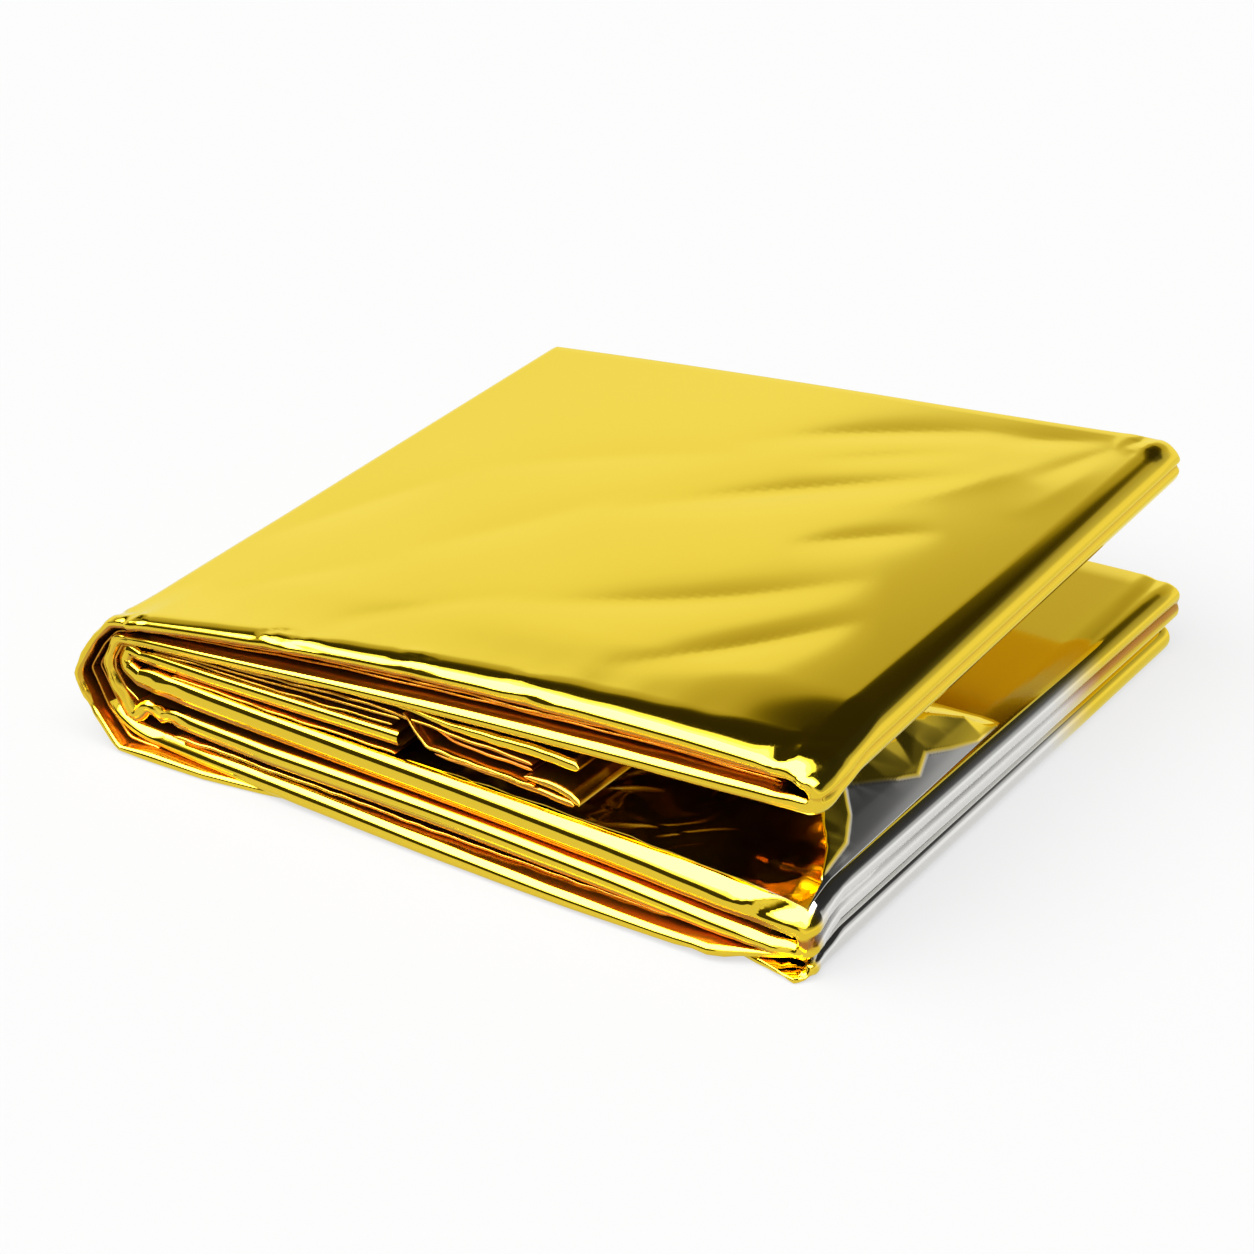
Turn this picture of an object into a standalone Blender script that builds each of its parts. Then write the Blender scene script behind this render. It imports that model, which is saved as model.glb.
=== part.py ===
"""Emergency foil blanket, folded flat.

One sheet of metallised film is folded down to a long strip of many plies, and the strip is then
folded back and forth into a flat packet. The strip is modelled as one solid: a flat roll with
round front and back edges, swept along the folds. Heights and places are measured from the
spine fold (X), the front edges (Y) and the ground (Z), in metres.
"""

import math

import bpy
import numpy as np

# The packet
PANEL_DEPTH = 0.195        # front folds to back folds
STATIONS = (0.030, 0.086, 0.143, 0.200)  # where each layer's heights are given, from the spine

# The strip's run through the packet, from one free end to the other. Each layer has its
# thickness at the spine and at the open side, how far its front edge lies back at its ends and
# between them, how far that edge sags between them, and the heights of its middle at the four
# stations, in front and at the back.
LAYERS = [
    dict(name="short flap", heading=-1, thickness=(0.0033, 0.0042), inset=(0.0015, 0.0010), sag=0.0,
         front=(0.0273, 0.0280, 0.0290, 0.0300), back=(0.0320, 0.0295, 0.0300, 0.0305)),
    dict(name="lower top", heading=1, thickness=(0.0034, 0.0056), inset=(0.0020, 0.0000), sag=0.0,
         front=(0.0215, 0.0196, 0.0174, 0.0168), back=(0.0240, 0.0200, 0.0180, 0.0174)),
    dict(name="lower middle", heading=-1, thickness=(0.0036, 0.0050), inset=(0.0030, 0.0008), sag=0.0,
         front=(0.0130, 0.0120, 0.0107, 0.0104), back=(0.0145, 0.0120, 0.0111, 0.0108)),
    dict(name="upper bottom", heading=1, thickness=(0.0030, 0.0040), inset=(0.0008, 0.0020), sag=0.0,
         front=(0.0322, 0.0374, 0.0405, 0.0440), back=(0.0400, 0.0435, 0.0465, 0.0486)),
    dict(name="upper top", heading=-1, thickness=(0.0030, 0.0041), inset=(0.0000, 0.0012), sag=0.0,
         front=(0.0366, 0.0454, 0.0506, 0.0502), back=(0.0470, 0.0506, 0.0538, 0.0565)),
    dict(name="base", heading=1, thickness=(0.0022, 0.0022), inset=(0.0002, 0.0085), sag=0.0,
         front=(0.0011, 0.0011, 0.0011, 0.0011), back=(0.0011, 0.0011, 0.0011, 0.0011)),
    dict(name="lower bottom", heading=-1, thickness=(0.0036, 0.0034), inset=(0.0040, 0.0004), sag=0.0022,
         front=(0.0052, 0.0050, 0.0048, 0.0047), back=(0.0052, 0.0050, 0.0049, 0.0048)),
]

# The fold after each layer but the last: where it starts, in front and at the back, how far its
# end reaches out from there, and how pointed that end is, with 1 for a round one.
FOLDS = [
    dict(name="inner spine", front=0.0190, back=0.0205, reach=0.0030, point=1.0),
    dict(name="lower open side", front=0.2045, back=0.2085, reach=0.0032, point=1.0),
    dict(name="middle spine", front=0.0170, back=0.0180, reach=0.0080, point=1.1),
    dict(name="upper open side", front=0.2050, back=0.2035, reach=0.0030, point=1.0),
    dict(name="outer spine", front=0.0140, back=0.0150, reach=0.0125, point=1.45),
    dict(name="base open side", front=0.2062, back=0.2090, reach=0.0018, point=1.0),
]

# The strip's two free ends
FLAP_END = (0.1020, 0.1380)    # the short flap's edge, in front and at the back
TAIL_START = (0.0240, 0.0250)  # where the last layer turns up beside the spine folds
TAIL_REACH = 0.0156            # how far the turned-up tail reaches towards the spine
TAIL_RISE = 0.0092             # and how high
TAIL_TURN = 75.0               # degrees that it turns through

# Unevenness
INNER_STRETCH = (0.030, 0.060, 0.180, 0.200)  # insets and sag come in and go out between these
SAG_REACH = 0.010              # how far back from the front edge the sag reaches
BACK_INSET = 0.5               # the back edges' inset, as a share of the front edges'
WAVE_HEIGHT = 0.0006           # in-and-out waves of the front and back edges
WAVE_LENGTH = 0.047
WAVE_STAGGER = 0.079           # waves that an edge is shifted by for each millimetre of height
WAVE_BACK_SHIFT = 0.4          # and for the back edges

# Facets
RUN_STEPS = 11                 # steps along a layer
FOLD_STEPS = 8                 # steps round a fold
TAIL_STEPS = 4
EDGE_STEPS = 4                 # steps round a front or back edge
DEPTH_CUTS = (0.05, 0.35, 0.65, 0.95)  # lines across the strip's faces, as shares of its depth
SHARP_ANGLE = 50.0

FILM_GOLD = (0.830, 0.560, 0.045, 1.0)
FILM_ROUGHNESS = 0.16


def clear_scene():
    for leftover in list(bpy.data.objects):
        bpy.data.objects.remove(leftover, do_unlink=True)


def ease(share):
    """Smooth step from 0 to 1."""
    share = np.clip(share, 0.0, 1.0)
    return share * share * (3.0 - 2.0 * share)


def height_at(heights, x):
    """Smooth curve through a layer's four heights, straight past the first and last."""
    curve = np.polyfit(STATIONS, heights, 3)
    inside = np.clip(x, STATIONS[0], STATIONS[-1])
    slope = np.polyval(np.polyder(curve), inside)
    return np.polyval(curve, inside) + slope * (x - inside)


def layer_ends(index, side):
    """X where a layer starts and stops; side 0 is the front, 1 the back."""
    key = ("front", "back")[side]
    start = FLAP_END[side] if index == 0 else FOLDS[index - 1][key]
    stop = TAIL_START[side] if index == len(LAYERS) - 1 else FOLDS[index][key]
    return start, stop


def layer_run(index, side):
    """Points along a layer's middle as rows of X and Z."""
    start, stop = layer_ends(index, side)
    x = np.linspace(start, stop, RUN_STEPS + 1)
    return np.column_stack([x, height_at(LAYERS[index][("front", "back")[side]], x)])


def fold_arc(before, after, fold, heading):
    """Half a pointed ellipse from one layer's last point to the next one's first."""
    angle = np.linspace(0.0, math.pi, FOLD_STEPS + 1)[1:-1]
    across = np.sign(np.cos(angle)) * np.abs(np.cos(angle)) ** fold["point"]
    share = ((1.0 - across) / 2.0)[:, None]
    arc = before * (1.0 - share) + after * share
    arc[:, 0] += heading * fold["reach"] * np.sin(angle) ** fold["point"]
    return arc


def tail_curl(before):
    """Quarter of an ellipse that turns the last layer's free end up."""
    angle = np.linspace(0.0, math.radians(TAIL_TURN), TAIL_STEPS + 1)[1:]
    x = before[0] - TAIL_REACH * np.sin(angle)
    z = before[1] + TAIL_RISE * (1.0 - np.cos(angle))
    return np.column_stack([x, z])


def strip_path(side):
    """The strip's middle line in X and Z, from free end to free end."""
    runs = [layer_run(index, side) for index in range(len(LAYERS))]
    path = [runs[0]]
    for index, fold in enumerate(FOLDS):
        heading = LAYERS[index]["heading"]
        path.append(fold_arc(runs[index][-1], runs[index + 1][0], fold, heading))
        path.append(runs[index + 1])
    path.append(tail_curl(runs[-1][-1]))
    return np.concatenate(path)


def strip_trim(path):
    """Thickness, front inset and sag at each point of the path, carried round the folds."""
    rows = []
    for layer in LAYERS:
        x = path[len(rows):len(rows) + RUN_STEPS + 1, 0]
        open_share = (x - STATIONS[0]) / (STATIONS[-1] - STATIONS[0])
        thickness = np.interp(open_share, (0.0, 1.0), layer["thickness"])
        first, second, third, last = INNER_STRETCH
        inner = ease((x - first) / (second - first)) * ease((last - x) / (last - third))
        inset = layer["inset"][0] + (layer["inset"][1] - layer["inset"][0]) * inner
        rows += list(zip(thickness, inset, layer["sag"] * inner))
        rows += [(math.nan, math.nan, math.nan)] * (FOLD_STEPS - 1)
    trim = np.array(rows)[:len(path)]
    known = ~np.isnan(trim[:, 0])
    place = np.arange(len(path))
    return np.column_stack([np.interp(place, place[known], column[known]) for column in trim.T])


def edge_wave(path, shift):
    """In-and-out waves of an edge, shifted from layer to layer by its height."""
    phase = path[:, 0] / WAVE_LENGTH + path[:, 1] * 1000.0 * WAVE_STAGGER + shift
    return WAVE_HEIGHT * np.sin(2.0 * math.pi * phase)


def unit_normals(path):
    """The path's normals in X and Z, to the left of its run."""
    tangent = np.gradient(path, axis=0)
    tangent /= np.linalg.norm(tangent, axis=1, keepdims=True)
    return np.column_stack([-tangent[:, 1], tangent[:, 0]])


def roll_outline(thickness, front, back):
    """The flat roll's outline at every point of the path: Y and height off the middle line."""
    radius = thickness / 2.0
    outline = []
    for step in range(EDGE_STEPS + 1):
        angle = -math.pi / 2.0 + math.pi * step / EDGE_STEPS
        outline.append((front + radius * (1.0 - math.cos(angle)), radius * math.sin(angle)))
    for cut in DEPTH_CUTS:
        outline.append((front + (back - front) * cut, radius))
    for step in range(EDGE_STEPS + 1):
        angle = math.pi / 2.0 - math.pi * step / EDGE_STEPS
        outline.append((back - radius * (1.0 - math.cos(angle)), radius * math.sin(angle)))
    for cut in reversed(DEPTH_CUTS):
        outline.append((front + (back - front) * cut, -radius))
    return outline


def strip_vertices():
    """Rings of points round the strip, one ring for each point of the path."""
    front_path, back_path = strip_path(0), strip_path(1)
    thickness, inset, sag = strip_trim(front_path).T
    front = inset + edge_wave(front_path, 0.0)
    back = PANEL_DEPTH - inset * BACK_INSET + edge_wave(back_path, WAVE_BACK_SHIFT)
    columns = []
    for y, offset in roll_outline(thickness, front, back):
        share = ((y - front) / (back - front))[:, None]
        middle = front_path * (1.0 - share) + back_path * share
        normal = unit_normals(middle)
        near_front = np.clip(1.0 - y / SAG_REACH, 0.0, 1.0) ** 2
        x = middle[:, 0] + normal[:, 0] * offset
        z = middle[:, 1] + normal[:, 1] * offset - sag * near_front
        columns.append(np.column_stack([x, y, z]))
    rings = np.stack(columns, axis=1)
    lowest, highest = rings.min(axis=(0, 1)), rings.max(axis=(0, 1))
    middle = (lowest + highest) / 2.0
    return rings - np.array([middle[0], middle[1], lowest[2]])


def strip_mesh():
    """The rings joined by faces and closed at the two free ends."""
    rings = strip_vertices()
    count, around = rings.shape[:2]
    faces = []
    for ring in range(count - 1):
        for side in range(around):
            follow = (side + 1) % around
            faces.append((ring * around + side, (ring + 1) * around + side,
                          (ring + 1) * around + follow, ring * around + follow))
    faces.append(tuple(range(around)))
    faces.append(tuple((count - 1) * around + side for side in reversed(range(around))))
    mesh = bpy.data.meshes.new("foil_blanket")
    mesh.from_pydata(rings.reshape(-1, 3).tolist(), [], faces)
    mesh.update()
    return mesh


def film_material():
    material = bpy.data.materials.new("gold_metallised_film")
    material.use_nodes = True
    shader = material.node_tree.nodes["Principled BSDF"]
    shader.inputs["Base Color"].default_value = FILM_GOLD
    shader.inputs["Metallic"].default_value = 1.0
    shader.inputs["Roughness"].default_value = FILM_ROUGHNESS
    return material


def make_blanket():
    collection = bpy.data.collections.new("emergency_foil_blanket")
    bpy.context.scene.collection.children.link(collection)
    mesh = strip_mesh()
    mesh.materials.append(film_material())
    mesh.shade_smooth()
    mesh.set_sharp_from_angle(angle=math.radians(SHARP_ANGLE))
    collection.objects.link(bpy.data.objects.new("foil_blanket", mesh))


clear_scene()
make_blanket()
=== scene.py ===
# Emergency foil blanket, folded flat: one sheet of metallised film, gold on one face and silver
# on the other, folded to a strip of many plies and then back and forth into a packet.

import math
import bpy
import numpy as np
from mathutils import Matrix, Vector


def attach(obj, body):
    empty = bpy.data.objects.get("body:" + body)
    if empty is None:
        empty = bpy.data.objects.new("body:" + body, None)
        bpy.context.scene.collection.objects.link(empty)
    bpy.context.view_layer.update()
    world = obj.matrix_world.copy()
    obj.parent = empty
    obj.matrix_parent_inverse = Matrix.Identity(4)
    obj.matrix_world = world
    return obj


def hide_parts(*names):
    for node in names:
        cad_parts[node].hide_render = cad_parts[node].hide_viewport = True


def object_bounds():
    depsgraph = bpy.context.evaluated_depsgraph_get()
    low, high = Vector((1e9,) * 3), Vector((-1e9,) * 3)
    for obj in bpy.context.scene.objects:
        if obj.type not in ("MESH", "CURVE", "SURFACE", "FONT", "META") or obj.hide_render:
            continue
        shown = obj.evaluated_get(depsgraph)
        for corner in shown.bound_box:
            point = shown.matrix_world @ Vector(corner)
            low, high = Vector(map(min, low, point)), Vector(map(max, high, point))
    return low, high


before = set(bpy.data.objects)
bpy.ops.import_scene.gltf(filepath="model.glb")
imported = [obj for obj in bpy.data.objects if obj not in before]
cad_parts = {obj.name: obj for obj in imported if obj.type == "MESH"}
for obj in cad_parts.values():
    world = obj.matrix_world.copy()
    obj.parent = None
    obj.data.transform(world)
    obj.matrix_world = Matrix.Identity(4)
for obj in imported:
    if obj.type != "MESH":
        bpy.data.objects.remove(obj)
cadLow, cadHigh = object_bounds()
print("stage 1: frame loaded")


def ease(share):
    # smooth step: 0 below 0, 1 above 1, and 3s^2 - 2s^3 between
    share = np.clip(share, 0.0, 1.0)
    return share * share * (3.0 - 2.0 * share)


def fade(values, start, stop):
    # the smooth step from 0 at the start to 1 at the stop, which may be the lower of the two
    return ease((values - start) / (stop - start))


def blendValues(a, b, share):
    return a + (b - a) * share


def toLinear(hexColour):
    # sRGB hex value to the linear colour that a shader takes
    parts = np.array([int(hexColour[i:i + 2], 16) for i in (1, 3, 5)]) / 255.0
    linear = np.where(parts <= 0.04045, parts / 12.92, ((parts + 0.055) / 1.055) ** 2.4)
    return (*linear.tolist(), 1.0)


def gridFaces(rows, columns, closed):
    # quads of a grid of points; a closed grid also joins its last column to its first
    row, column = np.meshgrid(np.arange(rows - 1), np.arange(columns if closed else columns - 1),
                              indexing="ij")
    follow = (column + 1) % columns
    quads = [row * columns + column, (row + 1) * columns + column,
             (row + 1) * columns + follow, row * columns + follow]
    return np.stack(quads, axis=-1).reshape(-1, 4)


def meshObject(name, points, faces, material, sharpAngle, extraFaces=()):
    mesh = bpy.data.meshes.new(name)
    mesh.from_pydata(points.reshape(-1, 3).tolist(), [], faces.tolist() + [list(f) for f in extraFaces])
    mesh.validate()
    mesh.update()
    mesh.shade_smooth()
    mesh.set_sharp_from_angle(angle=math.radians(sharpAngle))
    mesh.materials.append(material)
    piece = bpy.data.objects.new(name, mesh)
    bpy.context.scene.collection.objects.link(piece)
    return piece


def setValues(piece, name, values):
    # one number for each point of a mesh, which its material reads
    attribute = piece.data.attributes.new(name, "FLOAT", "POINT")
    attribute.data.foreach_set("value", np.ascontiguousarray(values, dtype=np.float32).ravel())


def addNode(tree, kind, settings=None, inputs=None, links=None):
    # one node with its settings, input values, and links from (node, output) to its inputs
    node = tree.nodes.new(kind)
    for key, value in (settings or {}).items():
        setattr(node, key, value)
    for key, value in (inputs or {}).items():
        node.inputs[key].default_value = value
    for key, (source, output) in (links or {}).items():
        tree.links.new(source.outputs[output], node.inputs[key])
    return node


film = {
    "gold": "#E1C124",          # the lacquered face
    "goldEdge": "#FFFCA4",      # tint of its reflection at a low angle
    "paintedShadeGold": "#A96814",      # painted shade: the same face between plies, turned orange brown for the light lost in many reflections there
    "silver": "#D9D8D4",        # the bare aluminium face
    "roughness": 0.07,
    "deepRoughness": 0.30,      # crinkled plies that are seen between the layers
    "coat": 0.45,               # clear film over the metal
    "coatRoughness": 0.06,
    "coatIor": 1.5,
}


def metallisedPolyester():
    # Polyester film with aluminium vapour on it, lacquered gold on one face: a mirror that tints
    # what it reflects, with a thin clear layer over the metal that whitens the highlights.
    material = bpy.data.materials.new("metallised_polyester_film")
    material.use_nodes = True
    tree = material.node_tree
    shader = tree.nodes["Principled BSDF"]
    # painted shade: the deep attribute mixes the gold towards a darker orange brown between the plies and in
    # grooves, and also roughens the film there
    deep = addNode(tree, "ShaderNodeAttribute", {"attribute_name": "deep"})
    gold = addNode(tree, "ShaderNodeMix", {"data_type": "RGBA"},
                   {6: toLinear(film["gold"]), 7: toLinear(film["paintedShadeGold"])}, {0: (deep, "Fac")})
    silver = addNode(tree, "ShaderNodeAttribute", {"attribute_name": "silver"})
    colour = addNode(tree, "ShaderNodeMix", {"data_type": "RGBA"}, {7: toLinear(film["silver"])},
                     {0: (silver, "Fac"), 6: (gold, 2)})
    tree.links.new(colour.outputs[2], shader.inputs["Base Color"])
    shader.inputs["Metallic"].default_value = 1.0
    edge = addNode(tree, "ShaderNodeMix", {"data_type": "RGBA"},
                   {6: toLinear(film["goldEdge"]), 7: (1.0, 1.0, 1.0, 1.0)}, {0: (silver, "Fac")})
    tree.links.new(edge.outputs[2], shader.inputs["Specular Tint"])
    roughness = addNode(tree, "ShaderNodeMapRange", None,
                        {"To Min": film["roughness"], "To Max": film["deepRoughness"]},
                        {"Value": (deep, "Fac")})
    tree.links.new(roughness.outputs["Result"], shader.inputs["Roughness"])
    shader.inputs["Coat Weight"].default_value = film["coat"]
    shader.inputs["Coat Roughness"].default_value = film["coatRoughness"]
    shader.inputs["Coat IOR"].default_value = film["coatIor"]
    return material


filmMaterial = metallisedPolyester()
print("stage 2: film material made")

packet = {
    "depth": 0.195,                              # front folds to back folds
    "stations": (0.030, 0.086, 0.143, 0.200),    # where heights are given, from the spine
    "edgePlaces": (0.020, 0.040, 0.060, 0.100, 0.143, 0.172, 0.186, 0.203),   # and front edges
    "shift": 0.0006,                             # how far behind the box's front Y is counted from
}

# The layers in the order that the strip runs through them, from the short flap to the tail, in mm.
# heading: 1 towards the open side, -1 towards the spine. backInset: how far its back is drawn in.
# thick, front and back: the layer's thickness and the height of its middle, behind its nose and
# at the back folds. nose and edge: the height of its front edge's middle, and where that edge
# lies. radii: of that edge's upper, middle and lower part. reach: how far back the edge differs.
# plyLine: a groove between two plies along the edge, with its tilt, half width and depth.
# deep: how much painted shade darkens the gold to orange brown on the layer's upper and lower side, 0 to 1.
layers = [
    {"name": "shortFlap", "heading": -1, "steps": 30, "reach": 13.0, "backInset": 0.6,
     "thick": (3.3, 3.6, 3.9, 4.2), "front": (27.3, 28.0, 29.0, 30.0), "back": (32.0, 29.5, 30.0, 30.5),
     "nose": (26.0, 26.1, 26.3, 26.5), "edge": (2.4, 1.8, 1.8, 1.8, 1.8, 1.8, 1.8, 1.8),
     "radii": ((1.0, 1.7, 2.3), (1.0, 1.7, 2.4), (1.0, 1.7, 2.4), (1.0, 1.7, 2.4)),
     "plyLine": (110.0, 14.0, 0.20), "deep": (0.8, 1.0)},
    {"name": "lowerTop", "heading": 1, "steps": 70, "reach": 13.0, "backInset": 0.0,
     "thick": (3.4, 4.1, 4.8, 5.4), "front": (21.5, 19.6, 17.6, 16.8), "back": (24.0, 20.0, 18.0, 17.4),
     "nose": (19.7, 17.9, 16.4, 13.4), "edge": (0.8, 0.3, 0.0, -0.5, -1.0, -0.9, -0.7, 0.2),
     "radii": ((1.0, 1.3, 4.9), (1.0, 2.5, 4.9), (1.0, 5.2, 4.6), (1.0, 10.0, 2.8)),
     "plyLine": (114.0, 15.0, 0.40), "deep": (0.1, 1.0)},
    {"name": "lowerMiddle", "heading": -1, "steps": 46, "reach": 13.0, "backInset": 0.4,
     "thick": (3.6, 4.1, 4.5, 5.0), "front": (13.0, 12.0, 11.0, 10.4), "back": (14.5, 12.0, 11.1, 10.8),
     "nose": (11.8, 11.4, 9.9, 5.6), "edge": (2.0, 0.4, -1.0, -1.7, -2.4, -2.1, -1.6, 0.6),
     "radii": ((1.0, 2.6, 2.6), (1.0, 2.4, 3.1), (1.0, 2.5, 3.0), (1.0, 3.0, 1.6)),
     "plyLine": (106.0, 14.0, 0.25), "deep": (1.0, 1.0)},
    {"name": "upperBottom", "heading": 1, "steps": 52, "reach": 13.0, "backInset": 1.0,
     "thick": (3.0, 3.3, 3.6, 4.0), "front": (32.2, 37.4, 40.8, 44.0), "back": (40.0, 43.5, 46.5, 48.6),
     "nose": (32.3, 37.4, 40.9, 42.1), "edge": (0.2, -0.6, -1.0, -1.3, -1.5, -1.3, -1.0, 0.0),
     "radii": ((1.0, 1.0, 1.3), (1.0, 1.9, 1.1), (1.0, 2.8, 1.5), (1.0, 1.5, 2.2)),
     "plyLine": (104.0, 14.0, 0.15), "deep": (1.0, 0.45)},
    {"name": "upperTop", "heading": -1, "steps": 120, "reach": 30.0, "backInset": 0.6,
     "thick": (3.0, 3.4, 3.8, 4.1), "front": (36.8, 45.6, 50.5, 52.0), "back": (47.0, 50.6, 53.8, 57.0),
     "nose": (37.4, 44.8, 48.8, 50.0), "edge": (0.2, 0.2, 0.2, 0.2, 0.2, 0.2, 0.2, 0.2),
     "radii": ((9.0, 1.2, 1.6), (10.5, 2.8, 1.4), (15.0, 3.4, 2.2), (22.0, 2.6, 1.7)),
     "plyLine": (108.0, 14.0, 0.25), "deep": (0.0, 1.0)},
    {"name": "base", "heading": 1, "steps": 30, "reach": 13.0, "backInset": 4.0,
     "thick": (2.2,) * 4, "front": (1.1,) * 4, "back": (1.1,) * 4,
     "nose": (1.2, 1.0, 0.9, 1.0), "edge": (-2.2, -2.0, 0.5, 8.0, 8.0, 6.0, 3.0, -2.2),
     "radii": ((0.3, 1.4, 1.3), (0.3, 1.0, 1.0), (0.3, 1.0, 0.9), (0.3, 1.2, 1.0)),
     "plyLine": (100.0, 14.0, 0.0), "deep": (1.0, 0.0)},
    {"name": "lowerBottom", "heading": -1, "steps": 46, "reach": 13.0, "backInset": 0.2,
     "thick": (3.6, 3.5, 3.5, 3.4), "front": (5.2, 5.0, 4.9, 4.8), "back": (5.2, 5.0, 4.9, 4.8),
     "nose": (4.4, 2.9, 2.15, 2.9), "edge": (2.0, 0.3, -0.6, -2.4, -3.8, -4.2, -4.4, 3.0),
     "radii": ((1.0, 4.2, 1.5), (1.0, 3.2, 2.8), (1.0, 2.6, 2.0), (1.0, 1.2, 1.0)),
     "plyLine": (98.0, 14.0, 0.20), "deep": (1.0, 0.2)},
]

# the fold after each layer but the last: where it starts in front and at the back, how far its
# end reaches out, how pointed that end is, with 1 for a round one, and the grooves in its outer
# face, each with its place round the fold in degrees, its half width, and its depth in front and
# at the back in mm. corners: where the fold's front edge is bent, in X and Z, in mm
folds = [
    {"name": "innerSpine", "front": 0.0190, "back": 0.0205, "reach": 0.0036, "point": 1.4, "grooves": (),
     "corners": ((15.7, 27.2), (14.2, 24.6), (15.0, 22.2))},
    {"name": "lowerOpen", "front": 0.2045, "back": 0.2085, "reach": 0.0032, "point": 1.0,
     "grooves": ((88.0, 34.0, 2.8, 1.7),), "corners": ()},
    {"name": "middleSpine", "front": 0.0215, "back": 0.0180, "reach": 0.0086, "point": 1.4, "grooves": (),
     "corners": ((19.6, 12.6), (17.2, 9.4), (15.3, 8.4), (11.4, 15.6), (8.5, 21.2), (9.7, 24.4),
                 (13.3, 30.3))},
    {"name": "upperOpen", "front": 0.2062, "back": 0.2050, "reach": 0.0032, "point": 1.0,
     "grooves": ((94.0, 14.0, 1.2, 1.3),), "corners": ()},
    {"name": "outerSpine", "front": 0.0140, "back": 0.0150, "reach": 0.0125, "point": 1.45, "grooves": (),
     "corners": ((12.1, 34.5), (6.9, 28.9), (1.2, 19.9), (0.8, 17.2), (6.2, 8.9), (13.0, 1.5))},
    {"name": "baseOpen", "front": 0.2062, "back": 0.2090, "reach": 0.0018, "point": 1.0, "grooves": (),
     "corners": ()},
]

strip = {
    "flapEnd": (0.0985, 0.1380),    # X of the short flap's end in front and at the back
    "tailStart": (0.0240, 0.0250),  # X where the tail starts to turn up, in the same way
    "tailReach": 0.0156, "tailRise": 0.0092, "tailTurn": 75.0,  # its half axes and turn in degrees
    "foldSteps": 28, "tailSteps": 10,
    "crowding": 0.80,               # how much the steps of a layer crowd towards its two folds
    "noseSteps": 36, "plusSteps": 30, "backSteps": 10, "minusSteps": 84,
    "plusCrowding": 1.3, "minusCrowding": 1.2,      # how much those sides' points crowd to the front
    "leastHalf": 0.0004,            # half thickness that a groove leaves
    "leastRadius": 0.0002,
    "plyLineRadius": 0.0015,        # below this lower radius a ply line is shallower
    "radiusTilts": (0.0, 22.0, 27.0, 56.0, 64.0, 180.0),    # tilts where the three radii hold
    "radiusShares": (0.0865, 0.4135, 1.5),          # how many times each counts in a nose's height
    "shadeTilts": (20.0, 102.0, 118.0),  # noses are free of painted shade between the first two tilts, and fully in it from the third
    # the noses thin out towards the spine: to this share of their radii, between these places
    "spineShare": 0.60, "spineFrom": 0.0145, "spineTo": 0.0245,
    "spineInset": {"lowerBottom": 9.0, "lowerMiddle": 1.0},    # and draw back by this, in mm
    "radiusWave": 0.07,             # how much the middle radius varies along an edge
    # how steeply a top face falls towards its open side: distance from the fold in mm, with less
    # than 0 for the fold itself, and slope
    "openSlopes": ((21.0, 0.0), (4.8, 0.2), (4.3, 9.0), (1.5, 12.0), (0.0, 16.0), (-2.0, 18.0),
                   (-4.0, 9.0), (-5.0, 0.0)),
    "fallSteps": (-0.005, 0.022, 217),      # distances where they are added up: first, last, count
    "openNarrow": 0.42,             # the width of that slope at the back, against the front's
    "sloped": {"lowerTop": 0.5, "upperTop": 1.0},
    # where the lower wing turns silver towards its open side: Y and X in mm
    "silverBorder": ((0.0, 206.0), (8.0, 206.0), (30.0, 184.0), (84.0, 184.0), (98.0, 201.0),
                     (150.0, 206.0)),
    "silverBlend": 0.001, "silverTop": 0.026,       # width of that border, and the silver's height
    "silverFront": (0.003, 0.005), "silverBack": (0.146, 0.116),    # Y where it starts and is full
    "shadeEnd": (0.204, 0.196),      # X where the painted shade on the gold starts, and where it is full
    "grooveShade": (0.00048, 0.00168),               # and the same for the depth of a groove, where its painted shade starts and is full
    # shallow folds in the top, in mm: both ends, how far they bow to the back, depth, and the
    # widths of their back and front slopes
    "topFolds": ((92.0, 90.0, 176.0, 152.0, 2.0, 1.10, 12.0, 10.0),
                 (100.0, 142.0, 186.0, 185.0, 7.5, 0.85, 11.0, 9.0),
                 (122.0, 139.0, 168.0, 166.0, 1.0, 0.34, 6.0, 5.0),
                 (148.0, 89.0, 182.0, 116.0, 1.0, 0.42, 6.0, 5.0),
                 (98.0, 34.0, 180.0, 85.0, -7.0, 1.00, 12.0, 9.0),
                 (144.0, 14.0, 188.0, 66.0, -2.5, 0.80, 9.0, 7.0),
                 (66.0, 6.0, 112.0, 44.0, 1.5, 0.50, 10.0, 7.0),
                 (16.0, 48.0, 48.0, 108.0, 1.0, 0.40, 10.0, 8.0),
                 (58.0, 48.0, 98.0, 110.0, -3.0, 0.45, 10.0, 8.0),
                 (152.0, 117.0, 188.0, 178.0, -4.0, -0.22, 5.0, 5.0),
                 (190.0, 128.0, 195.0, 180.0, -3.0, -0.16, 4.0, 4.0),
                 (40.0, 102.0, 120.0, 144.0, 3.0, 0.45, 14.0, 10.0),
                 (28.0, 18.0, 70.0, 52.0, 2.0, 0.30, 12.0, 8.0),
                 (164.0, 174.0, 199.0, 188.0, 1.0, 0.50, 7.0, 5.0),
                 (186.0, 152.0, 199.0, 189.0, 1.0, 0.34, 6.0, 4.0)),
    "foldRounding": 1.6,            # mm over which such a fold's crease is rounded
}

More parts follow.
